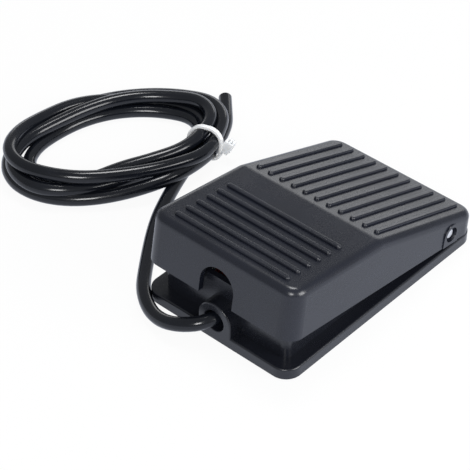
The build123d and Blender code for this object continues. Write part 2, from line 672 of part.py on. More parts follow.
JACKET_END = FRONT_Y + 11.6
lead_points = [
    (0, JACKET_END, CORD_Z),
    (0, FRONT_Y - 0.7, CORD_Z),
    (-9.6, FRONT_Y - 7.7, 6.0),
    (-20.5, FRONT_Y - 7.1, 2.9),
    (-31.5, FRONT_Y - 0.8, CORD_RADIUS),
    (-40.2, -39.5, CORD_RADIUS),
    (-53.2, -21.5, CORD_RADIUS),
    (-60.5, -6.5, CORD_RADIUS),
    (-65.8, 6.5, CORD_RADIUS),
]
cord_lead = tube(lead_points, CORD_RADIUS, "cord_lead")
save(cord_lead, "cord_lead")

# Coil drawn as the closed outer shape of its turns, drawn in where the tie holds it
COIL_X = -93.7
COIL_Y = 1.1
COIL_LONG = 44.4
COIL_SHORT = 31.3
COIL_BAND = 13.0
COIL_TALL = 13.0
COIL_TURN = 71.2
TIE_OUT = (0.941, 0.337, 0)
TIE_SPOT = (-63.55, 25.7, 0)
TIE_WIDE = 2.5
TIE_THICK = 1.1
TIE_CORNER = 6.0
coil_x_dir = (cos(radians(COIL_TURN)), sin(radians(COIL_TURN)), 0)
tie_out = Vector(*TIE_OUT).normalized()
tie_middle = Vector(*TIE_SPOT) - tie_out * (COIL_BAND / 2) + Vector(0, 0, COIL_TALL / 2)
tie_plane = Plane(origin=tie_middle, x_dir=tie_out, z_dir=tie_out.cross(Vector(0, 0, 1)))
held_wide = COIL_BAND - 2 * TIE_THICK
held_tall = COIL_TALL - 2 * TIE_THICK
held_corner = TIE_CORNER - TIE_THICK

with BuildPart() as cord_coil:
    with BuildSketch(Plane(origin=(COIL_X, COIL_Y, 0), x_dir=coil_x_dir)):
        Ellipse(COIL_LONG, COIL_SHORT)
        Ellipse(COIL_LONG - COIL_BAND, COIL_SHORT - COIL_BAND, mode=Mode.SUBTRACT)
    extrude(amount=COIL_TALL)
    fillet(cord_coil.edges().filter_by(Plane.XY), radius=4.5)
    with BuildSketch(tie_plane):
        Rectangle(COIL_BAND + 8, COIL_TALL + 8)
        RectangleRounded(held_wide - 0.1, held_tall - 0.1, held_corner, mode=Mode.SUBTRACT)
    extrude(amount=TIE_WIDE / 2 + 0.2, both=True, mode=Mode.SUBTRACT)
save(cord_coil, "cord_coil")

tail_points = [(-72.5, 33.5, 5.0), (-77.0, 42.5, 3.2), (-84.0, 53.0, CORD_RADIUS)]
cord_tail = tube(tail_points, CORD_RADIUS, "cord_tail")
save(cord_tail, "cord_tail")

# Tie: a strap round the coil with its square head outside
with BuildPart() as tie_strap:
    with BuildSketch(tie_plane):
        RectangleRounded(COIL_BAND, COIL_TALL, TIE_CORNER)
        RectangleRounded(held_wide, held_tall, held_corner, mode=Mode.SUBTRACT)
    extrude(amount=TIE_WIDE / 2, both=True)
save(tie_strap, "tie_strap")

HEAD_DEEP = 4.0
HEAD_TALL = 4.8
HEAD_WIDE = 4.4
head_out = COIL_BAND / 2 + 0.45 + HEAD_DEEP / 2
with BuildPart() as tie_head:
    with Locations(tie_plane * Location((head_out, -1.4, 0))):
        Box(HEAD_DEEP, HEAD_TALL, HEAD_WIDE)
    fillet(tie_head.edges(), radius=0.6)
save(tie_head, "tie_head")


# Three cores from the jacket's end to the sleeves
CORE_BEND = 2.5
CORE_RADIUS = 0.65
CORE_RING = 1.2


def core(place, turn_y, end_z, name):
    """One core, out of its place in the jacket, across behind the wall, into its sleeve."""
    start_x = CORE_RING * sin(radians(place))
    start_z = CORD_Z + CORE_RING * cos(radians(place))
    points = [
        (start_x, JACKET_END, start_z),
        (start_x, turn_y, start_z),
        (SWITCH_X, turn_y, end_z),
        (SWITCH_X, SLEEVE_FRONT, end_z),
    ]
    with BuildPart() as body:
        with BuildLine() as route:
            FilletPolyline(*points, radius=CORE_BEND)
        with BuildSketch(Plane(route.line @ 0, z_dir=route.line % 0)):
            Circle(CORE_RADIUS)
        sweep(path=route.line)
    save(body, name)


core(180, JACKET_END + 4.7, COMMON_Z, "core_common")
core(60, JACKET_END + 4.7, OPEN_Z, "core_open")
core(-60, JACKET_END + 3.0, CLOSED_Z, "core_closed")
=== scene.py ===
import json
import logging
import math
from dataclasses import dataclass, field
from enum import Enum

import bmesh
import bpy
from mathutils import Matrix, Vector


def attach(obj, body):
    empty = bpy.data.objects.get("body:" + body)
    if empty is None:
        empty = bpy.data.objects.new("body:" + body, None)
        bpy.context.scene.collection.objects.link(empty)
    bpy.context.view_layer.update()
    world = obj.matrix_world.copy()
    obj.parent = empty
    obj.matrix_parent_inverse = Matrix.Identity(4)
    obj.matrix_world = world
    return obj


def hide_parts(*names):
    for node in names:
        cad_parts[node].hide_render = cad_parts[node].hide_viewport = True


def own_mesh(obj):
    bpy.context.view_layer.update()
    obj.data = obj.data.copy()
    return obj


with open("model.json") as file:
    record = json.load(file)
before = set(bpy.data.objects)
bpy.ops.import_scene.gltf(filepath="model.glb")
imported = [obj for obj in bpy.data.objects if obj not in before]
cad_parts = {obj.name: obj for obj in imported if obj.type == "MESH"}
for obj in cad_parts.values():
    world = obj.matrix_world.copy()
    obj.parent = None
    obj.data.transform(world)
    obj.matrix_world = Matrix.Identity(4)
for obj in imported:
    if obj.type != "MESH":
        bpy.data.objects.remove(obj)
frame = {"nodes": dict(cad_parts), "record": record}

logging.basicConfig(level=logging.INFO, format="%(message)s")
LOG = logging.getLogger("foot_switch")
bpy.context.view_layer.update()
MM = 0.001


class Body(Enum):
    """Moving bodies of the foot switch."""

    BASE = "base"
    PEDAL = "pedal"


class Place(Enum):
    """Places round the coil where a turn's reach and height are given, in degrees."""

    RIGHT_END = -8.0
    BACK_RIGHT = 45.0
    BACK_LEFT = 108.0
    LEFT_END = 165.0
    FRONT_LEFT = 215.0
    FRONT = 255.0
    FRONT_RIGHT = 280.0
    BEFORE_TIE = 303.0


# Shader maths


class Sock:
    """A number or colour socket that builds Math nodes when it is used in an expression."""

    def __init__(self, graph: "Graph", socket: object) -> None:
        """Keep the graph and the socket.

        Args:
            graph: The material graph that owns the socket.
            socket: The output socket to wrap.
        """
        self.graph = graph
        self.socket = socket

    def _math(self, operation: str, first: object, second: object) -> "Sock":
        """Return the result of one Math node."""
        node = self.graph.node("ShaderNodeMath", {"operation": operation}, {0: first, 1: second})
        return Sock(self.graph, node.outputs[0])

    def __add__(self, other: object) -> "Sock":
        """Add."""
        return self._math("ADD", self, other)

    def __radd__(self, other: object) -> "Sock":
        """Add, with the number first."""
        return self._math("ADD", other, self)

    def __sub__(self, other: object) -> "Sock":
        """Take away."""
        return self._math("SUBTRACT", self, other)

    def __rsub__(self, other: object) -> "Sock":
        """Take away from a number."""
        return self._math("SUBTRACT", other, self)

    def __mul__(self, other: object) -> "Sock":
        """Multiply."""
        return self._math("MULTIPLY", self, other)

    def __rmul__(self, other: object) -> "Sock":
        """Multiply, with the number first."""
        return self._math("MULTIPLY", other, self)

    def __pow__(self, other: object) -> "Sock":
        """Raise to a power."""
        return self._math("POWER", self, other)


class Graph:
    """The node tree of one material."""

    def __init__(self, name: str) -> None:
        """Start a material with an empty tree.

        Args:
            name: The material's name.
        """
        self.material = bpy.data.materials.new(name)
        self.material.use_nodes = True
        self.tree = self.material.node_tree
        self.tree.nodes.clear()

    @classmethod
    def of_tree(cls, tree: object) -> "Graph":
        """Return a graph that fills a tree which is there already, such as a world's."""
        graph = cls.__new__(cls)
        graph.material = None
        graph.tree = tree
        tree.nodes.clear()
        return graph

    def node(self, kind: str, settings: dict | None = None, values: dict | None = None) -> object:
        """Add a node, set it up, then fill its sockets.

        Args:
            kind: Blender's node type.
            settings: Node properties, with a ramp's stops under "stops".
            values: Socket values or links by socket name or index.

        Returns:
            The new node.
        """
        made = self.tree.nodes.new(kind)
        for key, value in (settings or {}).items():
            if key == "stops":
                self._fill_ramp(made.color_ramp, value)
            else:
                setattr(made, key, value)
        for key, value in (values or {}).items():
            if isinstance(value, Sock):
                self.tree.links.new(value.socket, made.inputs[key])
            else:
                made.inputs[key].default_value = value
        return made

    def _fill_ramp(self, ramp: object, stops: list[tuple[float, tuple]]) -> None:
        """Give a colour ramp its stops."""
        while len(ramp.elements) < len(stops):
            ramp.elements.new(0.5)
        for element, (position, colour) in zip(ramp.elements, stops):
            element.position = position
            element.color = colour

    def place(self, stretch: tuple[float, float, float] = (1, 1, 1)) -> Sock:
        """Return object coordinates stretched by three factors."""
        source = self.node("ShaderNodeTexCoord")
        mapped = self.node(
            "ShaderNodeMapping", None, {"Vector": Sock(self, source.outputs["Object"]), "Scale": stretch}
        )
        return Sock(self, mapped.outputs[0])

    def noise(self, where: Sock, scale: float, detail: float = 2.0, rough: float = 0.5) -> Sock:
        """Return a noise value from 0 to 1."""
        values = {"Vector": where, "Scale": scale, "Detail": detail, "Roughness": rough}
        return Sock(self, self.node("ShaderNodeTexNoise", None, values).outputs[0])

    def cells(self, where: Sock, scale: float) -> Sock:
        """Return the distance to the nearest cell centre."""
        values = {"Vector": where, "Scale": scale}
        return Sock(self, self.node("ShaderNodeTexVoronoi", None, values).outputs[0])

    def between(self, value: Sock, low: float, high: float, start: float, end: float) -> Sock:
        """Map a value from one range to another, clamped."""
        node = self.node(
            "ShaderNodeMapRange",
            {"clamp": True},
            {"Value": value, "From Min": low, "From Max": high, "To Min": start, "To Max": end},
        )
        return Sock(self, node.outputs[0])

    def blend(self, factor: object, first: object, second: object) -> Sock:
        """Mix two colours."""
        node = self.node("ShaderNodeMix", {"data_type": "RGBA"}, {0: factor, 6: first, 7: second})
        return Sock(self, node.outputs[2])

    def bump(self, height: Sock, depth: float, strength: float = 1.0, under: Sock | None = None) -> Sock:
        """Return a normal from a height, over another normal where one is given."""
        values = {"Height": height, "Distance": depth, "Strength": strength}
        if under is not None:
            values["Normal"] = under
        return Sock(self, self.node("ShaderNodeBump", None, values).outputs[0])

    def finish(self, values: dict) -> bpy.types.Material:
        """Close the tree with a Principled shader.

        Args:
            values: The shader's socket values or links.

        Returns:
            The finished material.
        """
        shader = self.node("ShaderNodeBsdfPrincipled", None, values)
        self.node("ShaderNodeOutputMaterial", None, {"Surface": Sock(self, shader.outputs[0])})
        return self.material


def shade(colour: tuple[float, float, float], factor: float) -> tuple[float, float, float, float]:
    """Return a colour made lighter or darker, with full alpha."""
    return (colour[0] * factor, colour[1] * factor, colour[2] * factor, 1.0)


# Finishes


@dataclass(frozen=True)
class MouldedPlastic:
    """Injection moulded plastic with a fine sparked grain and slight flow marks."""

    name: str
    colour: tuple[float, float, float]
    roughness: float = 0.42
    spread: float = 0.07
    grain: float = 2600.0
    grain_depth: float = 0.00004
    specular: float = 0.5
    coat: float = 0.0

    def build(self) -> bpy.types.Material:
        """Return the material."""
        graph = Graph(self.name)
        where = graph.place()
        flow = graph.noise(graph.place((1.0, 0.35, 1.0)), 90.0, 3.0)
        smudge = graph.noise(where, 34.0, 4.0, 0.6)
        grain = graph.noise(where, self.grain, 2.0, 0.6)
        pits = graph.cells(where, self.grain * 0.55)
        colour = graph.blend(
            graph.between(flow, 0.3, 0.7, 0.0, 1.0), shade(self.colour, 0.88), shade(self.colour, 1.14)
        )
        rough = graph.between(smudge, 0.3, 0.7, self.roughness - self.spread, self.roughness + self.spread)
        rough = rough + (grain - 0.5) * 0.10
        normal = graph.bump(grain * 0.7 + pits * 0.3, self.grain_depth, 0.3)
        return graph.finish(
            {
                "Base Color": colour,
                "Roughness": rough,
                "Normal": normal,
                "Specular IOR Level": self.specular,
                "Coat Weight": self.coat,
            }
        )


@dataclass(frozen=True)
class SoftRubber:
    """Matt rubber with a dusty bloom."""

    name: str
    colour: tuple[float, float, float]

    def build(self) -> bpy.types.Material:
        """Return the material."""
        graph = Graph(self.name)
        where = graph.place()
        bloom = graph.noise(where, 160.0, 4.0, 0.65)
        tooth = graph.noise(where, 3800.0, 1.0)
        colour = graph.blend(graph.between(bloom, 0.4, 0.75, 0.0, 1.0), shade(self.colour, 0.9), shade(self.colour, 1.8))
        rough = graph.between(bloom, 0.3, 0.7, 0.68, 0.86)
        return graph.finish({"Base Color": colour, "Roughness": rough, "Normal": graph.bump(tooth, 0.00004, 0.6)})


@dataclass(frozen=True)
class DrawnMetal:
    """Turned, drawn or stamped metal with fine lines along one axis."""

    name: str
    colour: tuple[float, float, float]
    roughness: float = 0.28
    lines: tuple[float, float, float] = (1.0, 1.0, 0.06)
    tarnish: tuple[float, float, float] = (0.35, 0.3, 0.25)
    tarnish_share: float = 0.2

    def build(self) -> bpy.types.Material:
        """Return the material."""
        graph = Graph(self.name)
        where = graph.place()
        lines = graph.noise(graph.place(self.lines), 5200.0, 2.0)
        stain = graph.noise(where, 420.0, 4.0, 0.6)
        share = graph.between(stain, 0.55, 0.8, 0.0, self.tarnish_share)
        colour = graph.blend(share, shade(self.colour, 1.0), shade(self.tarnish, 1.0))
        rough = graph.between(lines, 0.3, 0.7, self.roughness - 0.08, self.roughness + 0.1)
        return graph.finish(
            {
                "Base Color": colour,
                "Metallic": 1.0,
                "Roughness": rough + share * 0.3,
                "Normal": graph.bump(lines, 0.00001, 0.5),
            }
        )


@dataclass(frozen=True)
class SmoothVinyl:
    """Extruded vinyl: smooth, glossy, with faint drawing lines and handling haze."""

    name: str
    colour: tuple[float, float, float]
    roughness: float = 0.24
    haze: float = 0.08
    depth: float = 0.00002

    def build(self) -> bpy.types.Material:
        """Return the material."""
        graph = Graph(self.name)
        where = graph.place()
        haze = graph.noise(where, 70.0, 5.0, 0.62)
        skin = graph.noise(where, 900.0, 3.0, 0.55)
        tooth = graph.noise(where, 4200.0, 1.0)
        colour = graph.blend(graph.between(haze, 0.35, 0.75, 0.0, 1.0), shade(self.colour, 0.85), shade(self.colour, 1.3))
        rough = graph.between(haze, 0.3, 0.75, self.roughness - 0.04, self.roughness + self.haze)
        normal = graph.bump(skin, self.depth, 0.3)
        normal = graph.bump(tooth, 0.00001, 0.4, normal)
        return graph.finish({"Base Color": colour, "Roughness": rough, "Normal": normal, "Specular IOR Level": 0.42})


@dataclass(frozen=True)
class MilkyNylon:
    """Natural nylon: white, slightly see-through, satin."""

    name: str
    colour: tuple[float, float, float]

    def build(self) -> bpy.types.Material:
        """Return the material."""
        graph = Graph(self.name)
        where = graph.place()
        cloud = graph.noise(where, 260.0, 3.0)
        tooth = graph.noise(where, 2400.0, 2.0)
        colour = graph.blend(graph.between(cloud, 0.3, 0.7, 0.0, 1.0), shade(self.colour, 0.93), shade(self.colour, 1.03))
        rough = graph.between(cloud, 0.3, 0.7, 0.3, 0.42)
        return graph.finish(
            {
                "Base Color": colour,
                "Roughness": rough,
                "Normal": graph.bump(tooth, 0.00003, 0.4),
                "Subsurface Weight": 0.35,
                "Subsurface Radius": (0.0014, 0.0015, 0.0016),
                "Subsurface Scale": 1.0,
            }
        )


FINISHES = {
    "pedal_plastic": MouldedPlastic("pedal_plastic", (0.0078, 0.0092, 0.0155), 0.27, 0.04, 2300.0),
    "tray_plastic": MouldedPlastic("tray_plastic", (0.0075, 0.0085, 0.0125), 0.26, 0.05, 2600.0),
    "foot_rubber": SoftRubber("foot_rubber", (0.03, 0.03, 0.03)),
    "pin_steel": DrawnMetal("pin_steel", (0.84, 0.85, 0.87), 0.42, (0.06, 1.0, 1.0), tarnish_share=0.1),
    "spring_steel": DrawnMetal("spring_steel", (0.56, 0.56, 0.58), 0.26),
    "switch_plastic": MouldedPlastic("switch_plastic", (0.05, 0.05, 0.055), 0.4, 0.05, 3200.0),
    "lid_plastic": MouldedPlastic("lid_plastic", (0.09, 0.085, 0.08), 0.46, 0.05, 3000.0),
    "plunger_plastic": MouldedPlastic("plunger_plastic", (0.55, 0.06, 0.04), 0.25, 0.04, 3600.0, 0.00002),
    "contact_brass": DrawnMetal("contact_brass", (0.78, 0.6, 0.3), 0.3, (1.0, 0.06, 1.0), (0.3, 0.2, 0.1), 0.35),
    "screw_steel": DrawnMetal("screw_steel", (0.7, 0.7, 0.72), 0.32),
    "cord_jacket": SmoothVinyl("cord_jacket", (0.0045, 0.0055, 0.0085), 0.17, 0.05),
    "core_brown": SmoothVinyl("core_brown", (0.2, 0.09, 0.04), 0.3),
    "core_blue": SmoothVinyl("core_blue", (0.05, 0.15, 0.5), 0.3),
    "core_white": SmoothVinyl("core_white", (0.75, 0.75, 0.72), 0.3),
    "sleeve_vinyl": SmoothVinyl("sleeve_vinyl", (0.45, 0.04, 0.03), 0.28),
    "tie_nylon": MilkyNylon("tie_nylon", (0.86, 0.87, 0.88)),
}


class Wardrobe:
    """Builds each finish once and puts it on nodes and pieces."""

    def __init__(self) -> None:
        """Build every finish."""
        self.materials = {name: finish.build() for name, finish in FINISHES.items()}

    def dress(self, piece: bpy.types.Object, slot: str) -> None:
        """Put one finish on every material slot of a piece.

        Args:
            piece: The object to dress.
            slot: The record's material slot.
        """
        if not piece.data.materials:
            piece.data.materials.append(self.materials[slot])
        for index in range(len(piece.data.materials)):
            piece.data.materials[index] = self.materials[slot]

    def dress_frame(self) -> int:
        """Dress every CAD node by the slot its record names.

        Returns:
            The number of nodes dressed.
        """
        for name, piece in frame["nodes"].items():
            slot = SLOT_OF_NODE[name]
            for holder in piece.material_slots:
                holder.link = "OBJECT"
                holder.material = self.materials[slot]
        return len(frame["nodes"])


SLOT_OF_NODE = {part["node"]: part["material_slot"] for part in frame["record"]["subparts"]}


# Modelling helpers


def clear_selection() -> None:
    """Deselect everything."""
    if bpy.context.object and bpy.context.object.mode != "OBJECT":
        bpy.ops.object.mode_set(mode="OBJECT")
    bpy.ops.object.select_all(action="DESELECT")


def only(piece: bpy.types.Object) -> None:
    """Select one object and make it active."""
    clear_selection()
    piece.select_set(True)
    bpy.context.view_layer.objects.active = piece


def settle(piece: bpy.types.Object) -> None:
    """Apply the object's place so it sits at the origin, and point its faces outwards."""
    only(piece)
    bpy.ops.object.transform_apply(location=True, rotation=True, scale=True)
    bpy.ops.object.mode_set(mode="EDIT")
    bpy.ops.mesh.select_all(action="SELECT")
    bpy.ops.mesh.remove_doubles(threshold=0.000005)
    bpy.ops.mesh.normals_make_consistent(inside=False)
    bpy.ops.object.mode_set(mode="OBJECT")


def pick(piece: bpy.types.Object, test: object, kind: str = "FACE") -> int:
    """In edit mode, select only the faces or edges whose middle passes a test.

    Args:
        piece: The object in edit mode.
        test: A function of a middle point and a normal or direction.
        kind: FACE or EDGE.

    Returns:
        How many were selected.
    """
    bpy.ops.mesh.select_mode(type=kind)
    bpy.ops.mesh.select_all(action="DESELECT")
    mesh = bmesh.from_edit_mesh(piece.data)
    chosen = 0
    for part in mesh.faces if kind == "FACE" else mesh.edges:
        if kind == "FACE":
            middle, direction = part.calc_center_median(), part.normal
        else:
            middle = (part.verts[0].co + part.verts[1].co) / 2
            direction = (part.verts[1].co - part.verts[0].co).normalized()
        if test(middle, direction):
            part.select_set(True)
            chosen += 1
    bmesh.update_edit_mesh(piece.data)
    return chosen


def apply_modifier(piece: bpy.types.Object, kind: str, settings: dict) -> None:
    """Add one modifier, set it and apply it.

    Args:
        piece: The object to change.
        kind: Blender's modifier type.
        settings: The modifier's properties.
    """
    only(piece)
    modifier = piece.modifiers.new(kind.title(), kind)
    for key, value in settings.items():
        setattr(modifier, key, value)
    bpy.ops.object.modifier_apply(modifier=modifier.name)


def smooth(piece: bpy.types.Object, angle: float = 35.0) -> None:
    """Shade smooth up to an angle."""
    only(piece)
    bpy.ops.object.shade_smooth_by_angle(angle=math.radians(angle))


# Cord


@dataclass(frozen=True)
class Turn:
    """One loose turn of the coil: how far out and how high it lies at each place.

    Reach is a share of the outermost turn's ellipse, height is in millimetres.
    """

    reach: tuple[float, ...]
    height: tuple[float, ...]


@dataclass
class Cord:
    """The free cord: out of the base, over the floor, four loose turns through the tie."""

    diameter: float = 5.0 * MM
    exit: tuple[float, float, float] = (0.0, -37.9 * MM, 8.8 * MM)
    coil_middle: tuple[float, float] = (-93.7, 1.1)
    long_half: float = 41.9
    short_half: float = 28.8
    long_axis: float = 71.2
    tie_angle: float = -38.0
    tie_middle: tuple[float, float] = (-69.67, 23.51)
    tie_out: tuple[float, float] = (0.941, 0.337)
    points_each_turn: int = 16
    ease_out: float = 1.02
    length: float = 0.942
    turns: tuple[Turn, ...] = (
        Turn(
            (0.775, 0.665, 0.69, 0.80, 0.745, 0.635, 0.70, 0.82),
            (2.6, 2.5, 2.5, 2.5, 3.6, 7.6, 8.7, 9.2),
        ),
        Turn(
            (0.875, 0.735, 0.685, 0.945, 1.01, 0.775, 0.715, 0.735),
            (9.2, 7.4, 7.0, 6.2, 7.0, 5.2, 4.2, 4.9),
        ),
        Turn(
            (0.81, 0.82, 0.875, 0.965, 0.90, 0.885, 0.955, 1.03),
            (4.5, 2.7, 7.3, 10.7, 11.3, 10.4, 9.7, 8.0),
        ),
        Turn(
            (0.985, 0.965, 0.98, 0.985, 0.965, 0.985, 1.07, 0.965),
            (6.6, 2.9, 2.5, 2.5, 2.5, 4.3, 7.0, 4.2),
        ),
    )
    seats: tuple[tuple[float, float], ...] = (
        (-1.4, 2.6),
        (-0.8, 9.2),
        (-2.9, 5.0),
        (3.5, 6.8),
        (3.0, 2.6),
    )
    piece: bpy.types.Object | None = field(default=None, init=False)

    def lead(self) -> list[Vector]:
        """Return the given points from the base to the coil."""
        return [
            Vector(point) * MM
            for point in (
                (0, -37.9, 8.8),
                (0, -50.2, 8.8),
                (-9.6, -57.2, 6.0),
                (-20.5, -56.6, 2.9),
                (-31.5, -50.3, 2.5),
                (-40.2, -39.5, 2.5),
                (-53.2, -21.5, 2.5),
                (-60.5, -6.5, 2.5),
                (-65.8, 6.5, 2.5),
            )
        ]

    def tail(self) -> list[Vector]:
        """Return the given points of the free end."""
        return [
            Vector(point) * MM
            for point in (
                (-69.9, 31.8, 2.6),
                (-73.6, 38.4, 2.5),
                (-78.9, 44.0, 2.5),
                (-84.6, 49.9, 2.5),
            )
        ]

    def round_coil(self, angle: float, reach: float, height: float) -> Vector:
        """Return a point round the coil.

        Args:
            angle: Degrees round the oval from its long axis.
            reach: Share of the outermost turn.
            height: Height of the cord's middle in millimetres.
        """
        along = self.long_half * reach * math.cos(math.radians(angle))
        across = self.short_half * reach * math.sin(math.radians(angle))
        turn = math.radians(self.long_axis)
        x = self.coil_middle[0] + along * math.cos(turn) - across * math.sin(turn)
        y = self.coil_middle[1] + along * math.sin(turn) + across * math.cos(turn)
        return Vector((x, y, height)) * MM

    def in_tie(self, crossing: int) -> Vector:
        """Return where the cord passes through the tie on its nth crossing, from 0."""
        out, height = self.seats[crossing]
        x = self.tie_middle[0] + out * self.tie_out[0]
        y = self.tie_middle[1] + out * self.tie_out[1]
        return Vector((x, y, height)) * MM

    def lie(self, turn: Turn, angle: float) -> tuple[float, float]:
        """Return a turn's reach and height at an angle, eased between its places."""
        places = [place.value for place in Place]
        if angle <= places[0]:
            return turn.reach[0], turn.height[0]
        for index in range(len(places) - 1):
            if angle <= places[index + 1]:
                share = (angle - places[index]) / (places[index + 1] - places[index])
                eased = (1 - math.cos(math.pi * share)) / 2
                mix = [
                    row[index] + (row[index + 1] - row[index]) * eased
                    for row in (turn.reach, turn.height)
                ]
                return mix[0], mix[1]
        return turn.reach[-1], turn.height[-1]

    def coil(self) -> list[Vector]:
        """Return the points of all turns, each going once through the tie."""
        points = []
        step = 360.0 / self.points_each_turn
        for number, turn in enumerate(self.turns):
            points.append(self.in_tie(number))
            for count in range(1, self.points_each_turn):
                angle = self.tie_angle + count * step
                if angle < Place.RIGHT_END.value - 8 or angle > 360 + self.tie_angle - 12:
                    continue
                reach, height = self.lie(turn, angle)
                points.append(self.round_coil(angle, reach * self.ease_out, height))
        points.append(self.in_tie(len(self.turns)))
        return points

    def route(self) -> list[Vector]:
        """Return every control point from the base to the free end."""
        return self.lead() + self.coil() + self.tail()

    def build(self, wardrobe: Wardrobe) -> None:
        """Make the cord as one open NURBS curve and dress it.

        The points carry the cord's radius, which keeps the curve's own bounds true.
        """
        curve = bpy.data.curves.new("cord", "CURVE")
        curve.dimensions = "3D"
        curve.bevel_depth = 1.0
        curve.bevel_resolution = 6
        curve.resolution_u = 6
        curve.use_fill_caps = True
        points = self.route()
        spline = curve.splines.new("NURBS")
        spline.points.add(len(points) - 1)
        for target, point in zip(spline.points, points):
            target.co = (*point, 1.0)
            target.radius = self.diameter / 2
        spline.order_u = 3
        spline.use_endpoint_u = True
        spline.use_smooth = True
        self.piece = bpy.data.objects.new("cord", curve)
        bpy.context.scene.collection.objects.link(self.piece)
        wardrobe.dress(self.piece, "cord_jacket")
        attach(self.piece, Body.BASE.value)
        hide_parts("cord_lead", "cord_coil", "cord_tail")

    def line(self) -> list[Vector]:
        """Return points along the curve's own line, read from its spline."""
        depth = self.piece.data.bevel_depth
        self.piece.data.bevel_depth = 0.0
        bpy.context.view_layer.update()
        mesh = bpy.data.meshes.new_from_object(
            self.piece.evaluated_get(bpy.context.evaluated_depsgraph_get())
        )
        self.piece.data.bevel_depth = depth
        return [vertex.co.copy() for vertex in mesh.vertices]

    def declare(self, pieces: list[bpy.types.Object]) -> None:
        """Report the cord's measured length.

        Args:
            pieces: The separate pieces on the cord; not used.
        """
        line = self.line()
        measured = sum((b - a).length for a, b in zip(line, line[1:]))
        LOG.info("cord measures %.3f m, stated as %.3f m", measured, self.length)


@dataclass
class CutEnd:
    """The square cut at the cord's free end: jacket ring with three cores in it."""

    jacket_radius: float = 2.5 * MM
    bore_radius: float = 1.75 * MM
    core_radius: float = 0.62 * MM
    copper_radius: float = 0.33 * MM
    proud: float = 0.12 * MM

    def disc(self, name: str, radius: float, middle: Vector, facing: Vector, tall: float) -> bpy.types.Object:
        """Return a short bevelled round plug facing one way."""
        clear_selection()
        turn = facing.to_track_quat("Z", "Y").to_euler()
        bpy.ops.mesh.primitive_cylinder_add(
            vertices=24, radius=radius, depth=tall, location=middle, rotation=turn
        )
        plug = bpy.context.object
        plug.name = name
        settle(plug)
        bpy.ops.object.mode_set(mode="EDIT")
        pick(plug, lambda spot, normal: normal.dot(facing) > 0.9)
        bpy.ops.mesh.bevel(offset=radius * 0.12, segments=2, affect="EDGES")
        bpy.ops.object.mode_set(mode="OBJECT")
        smooth(plug)
        return plug

    def build(self, cord: Cord, wardrobe: Wardrobe) -> list[bpy.types.Object]:
        """Make the cut face at the cord's end.

        Args:
            cord: The cord whose end is cut.
            wardrobe: The finishes.

        Returns:
            The pieces on the cord's end.
        """
        line = cord.line()
        end = line[-1]
        facing = (line[-1] - line[-3]).normalized()
        side = facing.cross(Vector((0, 0, 1))).normalized()
        rise = side.cross(facing)
        pieces = []
        for number, slot in enumerate(("core_brown", "core_blue", "core_white")):
            angle = math.radians(90 + 120 * number)
            middle = end + (side * math.cos(angle) + rise * math.sin(angle)) * self.core_radius * 1.22
            plug = self.disc(f"cut_core_{number + 1}", self.core_radius, middle, facing, 2 * self.proud)
            wardrobe.dress(plug, slot)
            pieces.append(plug)
        for plug in pieces:
            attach(plug, Body.BASE.value)
        return pieces


